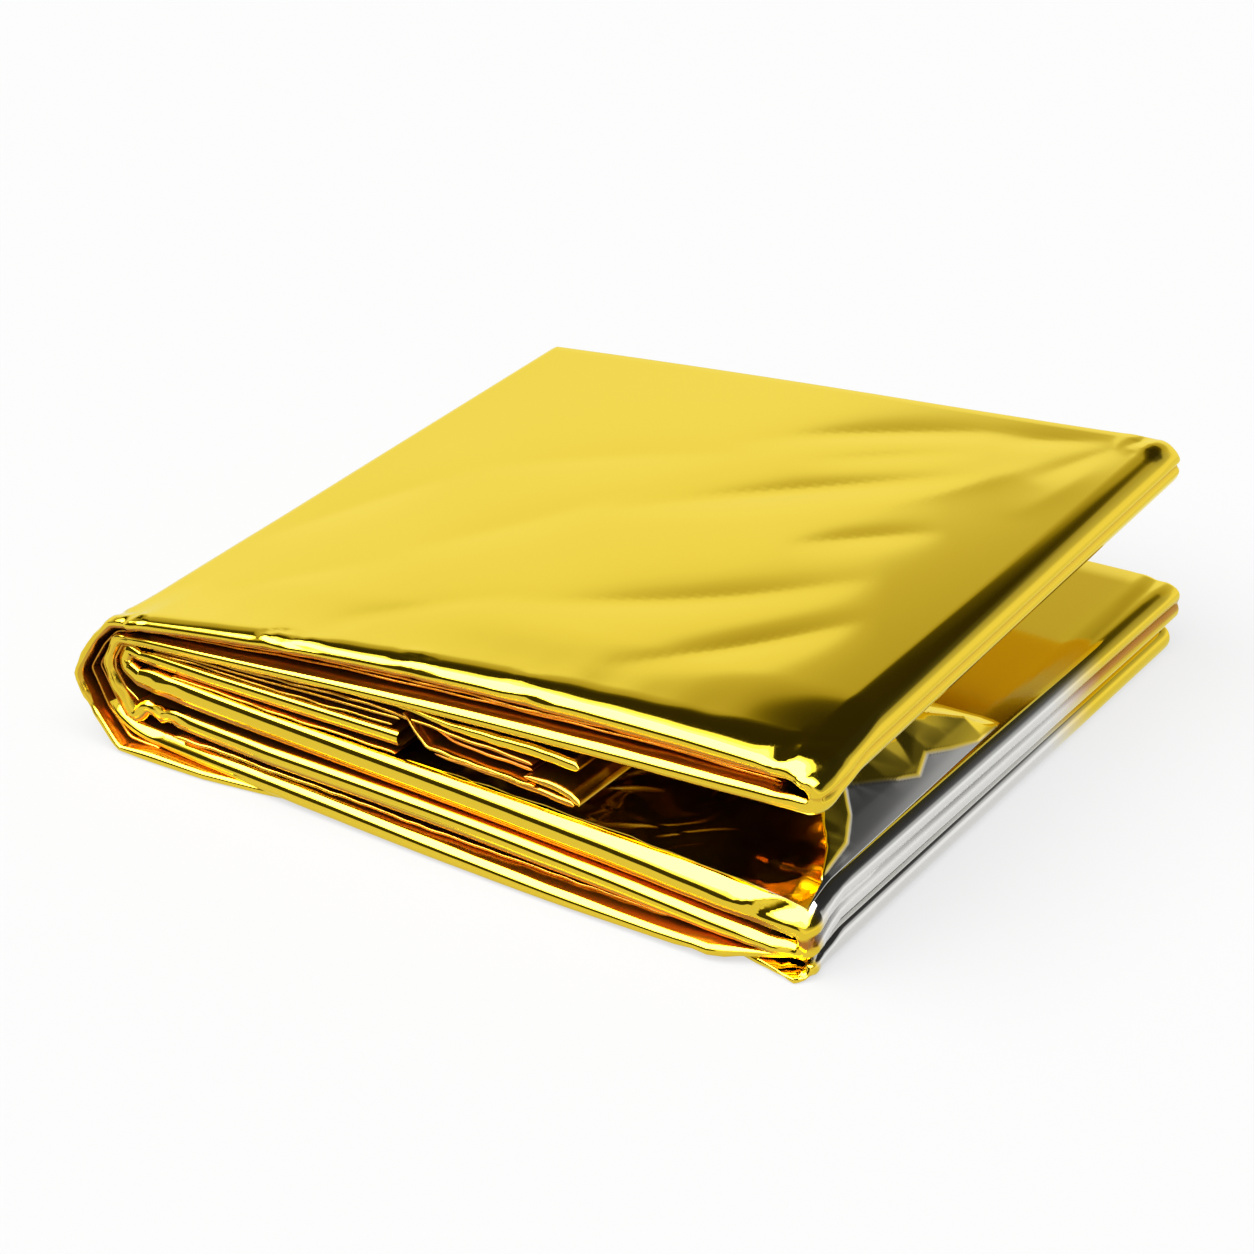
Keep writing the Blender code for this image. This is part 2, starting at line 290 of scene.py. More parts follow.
# where the strip is crumpled, in mm: middle, half sizes, depth, size of its facets, and seed
crumples = [
    ((12.0, 1.0, 34.5), (9.0, 9.0, 6.0), 0.85, 4.0, 1),         # top corner by the spine
    ((20.5, 0.5, 36.0), (4.5, 6.0, 4.0), 0.70, 2.6, 2),
    ((64.8, 1.5, 43.0), (6.0, 7.0, 5.0), 0.85, 3.6, 3),         # kinks along the top's front edge
    ((74.0, 1.5, 43.5), (5.0, 6.0, 4.0), 0.60, 3.2, 4),
    ((103.3, 1.5, 48.0), (6.0, 7.0, 5.0), 0.65, 4.0, 5),
    ((134.8, 1.5, 50.0), (6.0, 7.0, 5.0), 0.55, 4.0, 6),
    ((204.0, 4.0, 47.5), (13.0, 15.0, 9.0), 0.50, 4.2, 7),      # upper wing's front corner
    ((25.0, 1.0, 12.5), (9.0, 8.0, 5.0), 0.85, 3.2, 8),
    ((28.0, 1.0, 20.5), (6.0, 6.0, 4.0), 0.40, 3.0, 9),
    ((4.0, 2.0, 19.0), (14.0, 10.0, 16.0), 0.70, 4.5, 10),      # spine
    ((200.0, 3.0, 16.0), (15.0, 13.0, 6.0), 0.65, 6.0, 11),     # lower wing's front corner
    ((202.0, 1.0, 6.0), (11.0, 12.0, 4.0), 0.70, 3.4, 12),
    ((186.0, -2.0, 2.0), (8.0, 7.0, 4.0), 0.70, 4.0, 13),
    ((203.0, 0.0, 2.0), (12.0, 12.0, 4.0), 0.85, 4.4, 14),
    ((202.0, 190.0, 55.0), (11.0, 13.0, 7.0), 0.70, 5.0, 15),   # back corners
    ((206.0, 190.0, 14.0), (10.0, 13.0, 9.0), 0.60, 4.4, 16),
    ((6.0, 192.0, 30.0), (12.0, 9.0, 16.0), 0.50, 5.0, 17),
]


def heightAt(heights, x):
    # cubic curve through a layer's four values in mm, straight past the first and last station
    curve = np.polyfit(packet["stations"], heights, 3)
    inside = np.clip(x, packet["stations"][0], packet["stations"][-1])
    value = np.polyval(curve, inside) + np.polyval(np.polyder(curve), inside) * (x - inside)
    return value / 1000.0


def openFall(away, width):
    # height lost at a distance from the open side: the sum of the slopes in the table from the
    # flat part up to there, both stretched by the width
    steps = np.linspace(*strip["fallSteps"])
    places, degrees = np.array(strip["openSlopes"][::-1]).T
    slope = np.tan(np.radians(np.interp(steps * 1000.0, places, degrees)))
    fall = np.concatenate([[0.0], np.cumsum((slope[1:] + slope[:-1]) / 2.0 * np.diff(steps))])
    return width * (fall[-1] - np.interp(away / width, steps, fall))


def openEdge(share):
    # X of the open side, where the upper wing's fold starts, by the share of the depth
    fold = next(fold for fold in folds if fold["name"] == "upperOpen")
    return blendValues(fold["front"], fold["back"], share)


def shareOf(name, place):
    # how far a place belongs to the named layer: 1 in it, down to 0 across the folds beside it
    index = [layer["name"] for layer in layers].index(name)
    return np.clip(1.0 - np.abs(place - index), 0.0, 1.0)


def foldDip(x, y):
    # depth of the shallow folds at points of the top, in m: each runs along a bowed line between
    # its ends, by sin(pi x share)^1.3, and dies away by exp(-distance / width) on both sides
    dip = np.zeros_like(x)
    for x0, y0, x1, y1, bow, depth, back, front in np.array(strip["topFolds"]) / 1000.0:
        length = math.hypot(x1 - x0, y1 - y0)
        alongX, alongY = (x1 - x0) / length, (y1 - y0) / length
        share = np.clip(((x - x0) * alongX + (y - y0) * alongY) / length, 0.0, 1.0)
        across = (y - y0) * alongX - (x - x0) * alongY - 4.0 * bow * share * (1.0 - share)
        rounding = strip["foldRounding"] / 1000.0
        away = np.sqrt(across ** 2 + rounding ** 2) - rounding
        dip += depth * np.sin(math.pi * share) ** 1.3 * np.exp(-away / np.where(across > 0.0, back, front))
    return dip


def facetNoise(u, v, seed):
    # crumpled foil: random heights at the corners of triangles one unit wide, straight between
    table = np.random.default_rng(seed).uniform(-1.0, 1.0, (64, 64))
    column, row = np.floor(u).astype(int), np.floor(v).astype(int)
    s, t = u - column, v - row
    near, far, right, up = (table[(column + i) % len(table), (row + j) % len(table)]
                            for i, j in ((0, 0), (1, 1), (1, 0), (0, 1)))
    return np.where(s >= t, near + (right - near) * s + (far - right) * t,
                    near + (far - up) * s + (up - near) * t)


def crumpleHeight(points, zones):
    # height of the facets at points, in m: full to half way from a zone's middle to its border;
    # their grid leans with the height and is bent by sines, so that no rows show
    total = np.zeros(points.shape[:-1])
    for middle, halfSizes, depth, size, seed in zones:
        gap = np.linalg.norm((points * 1000.0 - middle) / halfSizes, axis=-1)
        u = (points[..., 0] - 0.6 * points[..., 2]) * 1000.0 / size
        v = (points[..., 1] + 0.8 * points[..., 2]) * 1000.0 / size
        noise = facetNoise(u + 0.3 * np.sin(1.7 * v + seed), v + 0.3 * np.sin(1.9 * u - seed), seed)
        total += depth / 1000.0 * ease(2.0 * (1.0 - gap)) * noise
    return total


def gridNormals(grid):
    # unit normals of a grid of points that is closed along its second axis; on the strip they
    # point inwards
    along = np.gradient(grid, axis=0)
    around = np.roll(grid, -1, axis=1) - np.roll(grid, 1, axis=1)
    normal = np.cross(along, around)
    return normal / np.maximum(np.linalg.norm(normal, axis=-1, keepdims=True), 1e-12)


def runStarts():
    # the place along the path where each layer starts
    counts = [layer["steps"] + strip["foldSteps"] for layer in layers]
    return [sum(counts[:index]) for index in range(len(layers))]


def waveAlong(x, seed):
    # an irregular wave of height 1 at most: the mean of five sines of different lengths
    dice = np.random.default_rng(seed)
    lengths, phases = dice.uniform(0.006, 0.060, 5), dice.uniform(0.0, 2.0 * math.pi, 5)
    return np.sin(2.0 * math.pi * np.asarray(x)[..., None] / lengths + phases).mean(axis=-1)


def layerRun(index, side):
    # x from the layer's start to its stop, stepping finer near both, and its height there
    layer = layers[index]
    key = "back" if side == "back" else "front"
    start = strip["flapEnd"][side == "back"] if index == 0 else folds[index - 1][key]
    stop = strip["tailStart"][side == "back"] if index == len(layers) - 1 else folds[index][key]
    step = np.linspace(0.0, 1.0, layer["steps"] + 1)
    share = step - strip["crowding"] * np.sin(2.0 * math.pi * step) / (2.0 * math.pi)
    x = blendValues(start, stop, share)
    return np.column_stack([x, heightAt(layer[side], x)])


def bentLine(stops, count):
    # points at equal distances along straight lines between the stops, the bends a little rounded
    length = np.concatenate([[0.0], np.cumsum(np.linalg.norm(np.diff(stops, axis=0), axis=1))])
    place = np.linspace(0.0, length[-1], count)
    line = np.column_stack([np.interp(place, length, column) for column in np.transpose(stops)])
    line[1:-1] = (line[:-2] + 2.0 * line[1:-1] + line[2:]) / 4.0
    return line


def foldArc(before, after, fold, heading, side):
    # half a pointed ellipse: the cosine goes from one layer to the next, the sine reaches out;
    # along the front edge, a line bent at the corners instead
    if side == "nose" and fold["corners"]:
        stops = np.concatenate([[before], np.array(fold["corners"]) / 1000.0, [after]])
        return bentLine(stops, strip["foldSteps"] + 1)[1:-1]
    angle = np.linspace(0.0, math.pi, strip["foldSteps"] + 1)[1:-1]
    across = np.sign(np.cos(angle)) * np.abs(np.cos(angle)) ** fold["point"]
    share = ((1.0 - across) / 2.0)[:, None]
    arc = before * (1.0 - share) + after * share
    arc[:, 0] += heading * fold["reach"] * np.sin(angle) ** fold["point"]
    return arc


def stripPath(side):
    # the strip's middle line in X and Z: layers, folds, and a quarter ellipse for the tail
    runs = [layerRun(index, side) for index in range(len(layers))]
    path = [runs[0]]
    for index, fold in enumerate(folds):
        path.append(foldArc(runs[index][-1], runs[index + 1][0], fold, layers[index]["heading"], side))
        path.append(runs[index + 1])
    angle = np.linspace(0.0, math.radians(strip["tailTurn"]), strip["tailSteps"] + 1)[1:]
    end = runs[-1][-1]
    path.append(np.column_stack([end[0] - strip["tailReach"] * np.sin(angle),
                                 end[1] + strip["tailRise"] * (1.0 - np.cos(angle))]))
    return np.concatenate(path)


def noseOutline(radii, plyLine):
    # A nose turns from facing up to facing down; at each tilt it has its own radius, so it runs
    # forward by radius x cosine and down by radius x sine. Gives the distance behind the front
    # and the height over the middle, both in m, for each row of upper, middle and lower radius.
    # The groove of the ply line is pressed in along the normal, which is (cosine, sine) of tilt.
    tilt = np.linspace(0.0, math.pi, strip["noseSteps"] + 1)
    stops = np.radians(strip["radiusTilts"])
    radius = np.stack([np.interp(tilt, stops, np.repeat(row, 2)) for row in radii])
    middle = (tilt[1:] + tilt[:-1]) / 2.0
    mean = (radius[:, 1:] + radius[:, :-1]) / 2.0 * tilt[1]
    start = np.zeros((len(radii), 1))
    forward = np.concatenate([start, np.cumsum(mean * np.cos(middle), axis=1)], axis=1)
    down = np.concatenate([start, np.cumsum(mean * np.sin(middle), axis=1)], axis=1)
    place, half, depth = plyLine
    dip = np.clip(1.0 - np.abs(np.degrees(tilt) - place) / half, 0.0, 1.0) * depth / 1000.0
    dip = dip * np.clip(radii[:, 2:] / strip["plyLineRadius"], 0.0, 1.0)
    behind = forward.max(axis=1, keepdims=True) - forward + dip * np.sin(tilt)
    return behind, down[:, -1:] / 2.0 - down - dip * np.cos(tilt)


def stripTrim(path):
    # for each point of the path: layer number, thickness, front edge, back edge, reach, and the
    # nose's outline in the ring's order; straight from layer to layer across a fold
    known, rows = [], []
    for index, (layer, first) in enumerate(zip(layers, runStarts())):
        runLength = layer["steps"] + 1
        place = first + np.arange(runLength)
        x = path[place, 0]
        radii = np.column_stack([heightAt(values, x) for values in zip(*layer["radii"])])
        radii[:, 1] *= 1.0 + strip["radiusWave"] * 2.0 * waveAlong(x, 40 + index)
        thin = fade(x, strip["spineFrom"], strip["spineTo"])
        radii *= blendValues(strip["spineShare"], 1.0, thin)[:, None]
        noseY, noseUp = noseOutline(np.maximum(radii, strip["leastRadius"]), layer["plyLine"])
        noseY, noseUp = noseY[:, ::layer["heading"]], noseUp[:, ::layer["heading"]] * layer["heading"]
        inset = strip["spineInset"].get(layer["name"], 0.0) / 1000.0 * (1.0 - thin)
        values = [float(index), heightAt(layer["thick"], x),
                  np.interp(x, packet["edgePlaces"], layer["edge"]) / 1000.0 + inset,
                  packet["depth"] - layer["backInset"] / 1000.0, layer["reach"] / 1000.0]
        known.append(place)
        rows.append(np.column_stack([np.full(runLength, value) for value in values] + [noseY, noseUp]))
    known, rows = np.concatenate(known), np.concatenate(rows)
    return np.column_stack([np.interp(np.arange(len(path)), known, column) for column in rows.T])


def grooveDepth(count):
    # depth of the grooves in front and at the back, by place along the path, in the + and in the
    # - side, in m: (1 - distance from the groove's middle / half width)^1.3. A fold's outer face
    # is its + side where the strip turns down, and its - side where it turns up.
    depth = np.zeros((2, count, 2))
    angle = np.linspace(0.0, 180.0, strip["foldSteps"] + 1)
    for index, (fold, first) in enumerate(zip(folds, runStarts())):
        place = first + layers[index]["steps"] + np.arange(strip["foldSteps"] + 1)
        outer = int(layers[index + 1]["front"][-1] > layers[index]["front"][-1])
        for middle, half, front, back in fold["grooves"]:
            dip = np.clip(1.0 - np.abs(angle - middle) / half, 0.0, 1.0) ** 1.3 / 1000.0
            depth[0, place, outer] += front * dip
            depth[1, place, outer] += back * dip
    return depth


def paintedShadeShare(count):
    # how much painted shade darkens the gold round each ring: by the layer's upper and lower side, with the
    # noses free of it from where they turn down to where they turn under, and straight across each fold
    tilt = np.linspace(0.0, 180.0, strip["noseSteps"] + 1)
    bright, turned, under = strip["shadeTilts"]
    known, rows = [], []
    for layer, first in zip(layers, runStarts()):
        upper, lower = layer["deep"]
        nose = upper * fade(tilt, bright, 0.0) + lower * fade(tilt, turned, under)
        minus, plus = (lower, upper) if layer["heading"] == 1 else (upper, lower)
        row = np.concatenate([nose[::layer["heading"]], np.full(strip["minusSteps"] - 1, minus),
                              np.linspace(minus, plus, strip["backSteps"] + 1),
                              np.full(strip["plusSteps"] - 1, plus)])
        known += [first, first + layer["steps"]]
        rows += [row, row]
    return np.column_stack([np.interp(np.arange(count), known, column) for column in np.transpose(rows)])


def stripRings():
    # one ring of points round the strip for each point of the path: front nose from the + side
    # to the - side, that side to the back, back nose, and the + side forward again
    nosePath, bodyPath, backPath = (stripPath(side) for side in ("nose", "front", "back"))
    trim = stripTrim(bodyPath)
    layer, thick, front, back, reach = (trim[:, [column]] for column in range(5))
    outline = strip["noseSteps"] + 1
    noseY, noseUp = front + trim[:, 5:5 + outline], trim[:, 5 + outline:]
    noseThick = np.abs(noseUp[:, :1]) + np.abs(noseUp[:, -1:])
    backAngle = np.linspace(-math.pi / 2.0, math.pi / 2.0, strip["backSteps"] + 1)
    backY = back - thick / 2.0 * (1.0 - np.cos(backAngle))
    minusShare = np.linspace(0.0, 1.0, strip["minusSteps"] + 1)[1:-1] ** strip["minusCrowding"]
    plusShare = 1.0 - np.linspace(1.0, 0.0, strip["plusSteps"] + 1)[1:-1] ** strip["plusCrowding"]
    minusY = blendValues(noseY[:, -1:], backY[:, :1], minusShare)
    plusY = blendValues(backY[:, -1:], noseY[:, :1], plusShare)
    y = np.concatenate([noseY, minusY, backY, plusY], axis=1)
    offset = np.concatenate([noseUp / noseThick, np.full(minusY.shape, -0.5),
                             np.broadcast_to(0.5 * np.sin(backAngle), backY.shape),
                             np.full(plusY.shape, 0.5)], axis=1)
    inNose = 1.0 - ease((y - front) / reach)
    offset = offset * blendValues(thick, noseThick, inNose)
    share = (y / packet["depth"])[..., None]
    grooveFront, grooveBack = grooveDepth(len(bodyPath))
    groove = blendValues(grooveFront[:, None], grooveBack[:, None], share)
    least = strip["leastHalf"]
    offset = np.where(offset > 0.0, np.maximum(offset - groove[..., 0], np.minimum(offset, least)),
                      np.minimum(offset + groove[..., 1], np.maximum(offset, -least)))
    middle = blendValues(bodyPath[:, None, :], backPath[:, None, :], share)
    middle = blendValues(middle, nosePath[:, None, :], inNose[..., None])
    edgeX = openEdge(share[..., 0])
    width = blendValues(1.0, strip["openNarrow"], share[..., 0])
    for name, slope in strip["sloped"].items():
        middle[..., 1] -= slope * shareOf(name, layer) * openFall(edgeX - middle[..., 0], width)
    middle[..., 1] -= shareOf("upperTop", layer) * foldDip(middle[..., 0], y)
    tangent = np.gradient(middle, axis=0)
    tangent /= np.linalg.norm(tangent, axis=2, keepdims=True)
    x = middle[..., 0] - tangent[..., 1] * offset
    z = middle[..., 1] + tangent[..., 0] * offset
    return np.stack([x, y, z], axis=-1)


def toFrame(points):
    # from the spine's and the front edges' own measures to the frame's
    return points + np.array([cadLow[0], cadLow[1] + packet["shift"], 0.0])


def joinPiece(name, parts, sharpAngle):
    # one piece out of closed grids of points, each with its two ends filled
    points, faces, caps, first = [], [], [], 0
    for grid in parts:
        count, around = grid.shape[:2]
        points.append(grid.reshape(-1, 3))
        faces.append(gridFaces(count, around, True) + first)
        last = first + (count - 1) * around
        caps += [[first + side for side in range(around)], [last + side for side in reversed(range(around))]]
        first += count * around
    return meshObject(name, toFrame(np.concatenate(points)), np.concatenate(faces), filmMaterial,
                      sharpAngle, caps)


def makeStrip():
    # the rings, moved along their normals by the facets' height, and nowhere below the floor
    rings = stripRings()
    rings += gridNormals(rings) * crumpleHeight(rings, crumples)[..., None]
    rings[..., 2] = np.maximum(rings[..., 2], 0.0)
    count, around = rings.shape[:2]
    piece = joinPiece("foil_strip", [rings], 40.0)
    x, y, z = rings.reshape(-1, 3).T
    border = np.interp(y * 1000.0, *np.transpose(strip["silverBorder"])) / 1000.0
    silver = fade(x - border, 0.0, strip["silverBlend"]) * (z < strip["silverTop"])
    setValues(piece, "silver", silver * fade(y, *strip["silverFront"]) * fade(y, *strip["silverBack"]))
    # painted shade: the gold in the grooves and between the plies is darkened through the deep attribute,
    # fading out towards the open side
    inGroove = np.repeat(fade(grooveDepth(count).max(axis=(0, 2)), *strip["grooveShade"]), around)
    deep = paintedShadeShare(count).ravel() * fade(x, *strip["shadeEnd"])
    setValues(piece, "deep", np.maximum(deep, inGroove))
    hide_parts("foil_blanket")
    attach(piece, "root")
    return piece


foilStrip = makeStrip()
print("stage 3: strip folded,", len(foilStrip.data.polygons), "faces")

# Loose plies between the layers, in mm. line: where the front edge runs, in X and Z. inset: how
# far it lies behind the front. half: half thickness, and deep: how much painted shade darkens their gold,
# both at equal distances from the line's start to its end.
plies = {
    "depth": 24.0, "steps": 110, "noseSteps": 6,
    "rounding": 6,                   # how many times the bends of a line are rounded
    "rise": 0.22, "sway": 0.5,       # height and depth of the waves along an edge
    "taper": 1.2, "tip": 0.04,       # length over which an end grows thin, and what is left, squared
    # from the front edge round the rear: height, in half thicknesses, and share of the depth
    "rearUp": (0.9, 0.1, -0.1, -0.9), "rearDepth": (0.5, 1.0, 1.0, 0.5),
    "lines": [
        {"line": ((22, 34.3), (39, 36.3), (62, 39.3), (86, 41.8), (118, 43.4), (143, 44.9), (169, 45.9),
                  (199, 46.3)), "inset": 2.6, "half": (0.30, 0.40), "deep": (0.75,)},
        {"line": ((22, 33.5), (39, 35.3), (62, 37.9), (86, 40.2), (118, 42.1), (143, 43.7), (169, 44.7),
                  (199, 45.1)), "inset": 3.4, "half": (0.28, 0.38), "deep": (0.75,)},
        {"line": ((24, 30.4), (39, 31.3), (62, 33.1), (86, 35.1), (102, 35.8), (110, 34.6), (118, 34.2),
                  (130, 34.3), (143, 34.3), (149, 34.0)), "inset": 1.6,
         "half": (0.2, 0.2, 0.22, 0.25, 0.3, 0.35, 0.7, 1.5, 1.85, 1.7),
         "deep": (0.7, 0.7, 0.7, 0.7, 0.7, 0.6, 0.1, 0.0, 0.0, 0.2)},
        {"line": ((24, 29.9), (39, 30.8), (62, 31.9), (86, 33.2), (102, 32.6), (118, 31.6), (130, 31.0),
                  (136, 30.8)), "inset": 2.4, "half": (0.26, 0.50), "deep": (0.75, 0.75, 0.75, 1.0)},
        {"line": ((24, 29.4), (39, 30.0), (62, 30.4), (86, 31.4), (99, 31.8)), "inset": 2.6,
         "half": (0.26, 0.40), "deep": (0.75,)},
        {"line": ((24, 28.8), (39, 29.1), (62, 29.2), (86, 29.5), (97, 29.9)), "inset": 2.2,
         "half": (0.22, 0.28), "deep": (0.75,)},
        {"line": ((101, 34.4), (104.6, 30.4), (107.5, 27.5), (114, 27.0), (124, 26.5), (137, 25.9)),
         "inset": 1.2, "half": (0.25, 0.45, 0.45, 0.35), "deep": (0.9, 0.6, 0.5, 0.6)},
        {"line": ((104, 32.4), (112, 29.4), (124, 28.6), (135, 28.4)), "inset": 4.0,
         "half": (0.3, 0.5), "deep": (1.0,)},
        {"line": ((109, 25.7), (124, 24.9), (138, 24.4), (147, 23.4)), "inset": 2.4,
         "half": (0.3, 0.5, 0.9, 1.0), "deep": (1.0, 0.9)},
        {"line": ((134, 27.3), (140, 26.9), (146, 26.0), (149, 24.4)), "inset": 2.0,
         "half": (0.5, 1.0, 1.1, 0.9), "deep": (0.9, 0.5)},
        {"line": ((30, 8.0), (46, 7.9), (62, 7.6), (86, 6.9), (118, 5.9), (143, 5.4), (169, 4.8),
                  (186, 4.4)), "inset": 0.6, "half": (0.50, 0.36), "deep": (0.75,)},
        {"line": ((30, 23.9), (62, 23.2), (98, 22.7)), "inset": 1.8, "half": (0.22, 0.30), "deep": (0.75,)},
        {"line": ((16.5, 33.2), (13.4, 32.2), (8.6, 27.4), (3.4, 19.5), (8.4, 10.2), (14.4, 3.2), (24, 2.6)),
         "inset": 1.6, "half": (0.25, 0.35), "deep": (0.75,)},
        {"line": ((17.5, 32.7), (13.6, 31.7), (9.2, 25.9), (5.6, 20.4), (10.2, 12.4), (15.6, 4.8), (22, 4.4)),
         "inset": 2.6, "half": (0.22, 0.30), "deep": (0.9,)},
        {"line": ((19, 29.2), (14.4, 28.6), (11.6, 24.0), (11.4, 21.0), (14.2, 16.4), (18.0, 14.0)),
         "inset": 2.0, "half": (0.25, 0.30), "deep": (0.75,)},
    ],
}


def spread(values, count):
    # the values at equal distances over a number of places
    return np.interp(np.linspace(0.0, 1.0, count), np.linspace(0.0, 1.0, len(values)), values)


def plyTube(line, inset, half, seed):
    # a flat tube round the line: a half round front edge, then straight back to a thin rear edge
    stops = np.array(line, dtype=float) / 1000.0
    path = bentLine(stops, plies["steps"])
    for _ in range(plies["rounding"]):
        path[1:-1] = (path[:-2] + 2.0 * path[1:-1] + path[2:]) / 4.0
    step = np.gradient(path, axis=0)
    step /= np.linalg.norm(step, axis=1, keepdims=True)
    normal = np.column_stack([-step[:, 1], step[:, 0]])
    place = np.cumsum(np.linalg.norm(np.diff(path, axis=0, prepend=path[:1]), axis=1))
    path = path + normal * (waveAlong(place, seed) * plies["rise"] / 1000.0)[:, None]
    front = (inset + plies["sway"] * waveAlong(place, seed + 50)) / 1000.0
    fromEnd = np.minimum(place, place[-1] - place) * 1000.0 / plies["taper"]
    thick = spread(half, len(path)) / 1000.0 * np.sqrt(np.clip(fromEnd, plies["tip"], 1.0))
    angle = np.linspace(-math.pi / 2.0, math.pi / 2.0, plies["noseSteps"] + 1)
    behind = np.concatenate([1.0 - np.cos(angle), np.ones(len(plies["rearUp"]))])
    up = np.concatenate([np.sin(angle), plies["rearUp"]])
    deep = np.concatenate([np.zeros(len(angle)), plies["rearDepth"]]) * plies["depth"] / 1000.0
    x = path[:, :1] + normal[:, :1] * thick[:, None] * up
    z = path[:, 1:] + normal[:, 1:] * thick[:, None] * up
    return np.stack([x, front[:, None] + thick[:, None] * behind + deep, z], axis=-1)


def makePlies():
    tubes = [plyTube(ply["line"], ply["inset"], ply["half"], 70 + index)
             for index, ply in enumerate(plies["lines"])]
    piece = joinPiece("foil_inner_plies", tubes, 40.0)
    # painted shade on the plies' gold, through the deep attribute
    setValues(piece, "deep", np.concatenate([np.repeat(spread(ply["deep"], len(tube)), tube.shape[1])
                                             for ply, tube in zip(plies["lines"], tubes)]))
    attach(piece, "root")


makePlies()
print("stage 4: loose plies laid between the layers")

# A loose ply on the lower wing, which shows in the wedge between the wings and puffs up along the
# open side, in mm. ridge: its height over the wing by Y; it falls from there to the open side at
# the steep slope and to the spine within the ridge's run. border: the ragged line between silver
# below and gold above, by Y and the way in from the edge. zones: its crumples, as for the strip.
loosePly = {
    "left": 101.0, "right": 206.8, "front": 2.2, "back": 97.0, "stepsX": 140, "stepsY": 160,
    "crowding": 1.8,                 # how much its points crowd to the right
    "thick": 0.25, "gap": 0.30,
    "leftRise": 8.0,                 # it rises off the wing in 1/8 of its width at the left,
    "backRise": 10.0,                # and over this length at the back
    "fullFacets": 12.0, "facetRange": (0.05, 1.3),  # facets' share: way in / this, in this range
    "ridge": ((2.2, 0.0), (10.0, 0.5), (18.0, 3.0), (26.0, 8.0), (36.0, 12.0), (60.0, 12.0),
              (76.0, 8.5), (88.0, 3.5), (97.0, 0.0)),
    "steep": 0.76, "ridgeRun": 34.0,
    "border": ((2.2, 0.0), (12.0, 1.0), (24.0, 2.2), (31.3, 5.4), (36.9, 10.0), (45.0, 7.2),
               (52.0, 4.6), (59.1, 2.5), (66.6, 4.6), (75.0, 2.2), (85.0, 0.0), (97.0, 0.0)),
    "borderBlend": 0.9,              # the width in which the colour changes there
    "step": 0.20, "stepRun": 0.5,    # how far the gold stands over the silver, and within which width
    "stepRidge": 0.5,                # where the ridge is at least this high
    "level": 20.0,                   # the height that its crumples are worked out at
    "zones": [
        ((120.0, 12.0, 20.0), (40.0, 26.0, 30.0), 0.40, 8.0, 21),
        ((160.0, 20.0, 20.0), (40.0, 30.0, 30.0), 0.50, 8.0, 22),
        ((186.0, 60.0, 20.0), (20.0, 40.0, 30.0), 0.70, 9.0, 23),
        ((198.0, 12.0, 20.0), (16.0, 18.0, 30.0), 0.50, 7.0, 24),
    ],
    # a silver patch at the front corner: its middle in X and Y, its radius, and the shares of it
    # where it starts and is full
    "silverPatch": (198.5, 8.0, 6.0), "patchRim": (1.15, 0.90),
    "deep": 0.35, "shadeEnd": (192.0, 178.0),    # how much painted shade darkens the gold, and X where that shade starts and is full, as for the strip
    "flatLength": 110.0,             # from the open side to the spine, when laid flat
}


def wingTop(x, y):
    # height of the lower wing's top at points, in m, in the same way as its layer is made
    layer = layers[1]
    share = y / packet["depth"]
    inNose = 1.0 - ease(y * 1000.0 / layer["reach"])
    height = blendValues(heightAt(layer["front"], x), heightAt(layer["back"], x), share)
    height = blendValues(height, heightAt(layer["nose"], x), inNose)
    fall = openFall(openEdge(share) - x, blendValues(1.0, strip["openNarrow"], share))
    upper = sum(heightAt(values, x) * part for values, part in
                zip(zip(*layer["radii"]), strip["radiusShares"]))
    return height + blendValues(heightAt(layer["thick"], x), upper, inNose) / 2.0 \
        - strip["sloped"]["lowerTop"] * fall


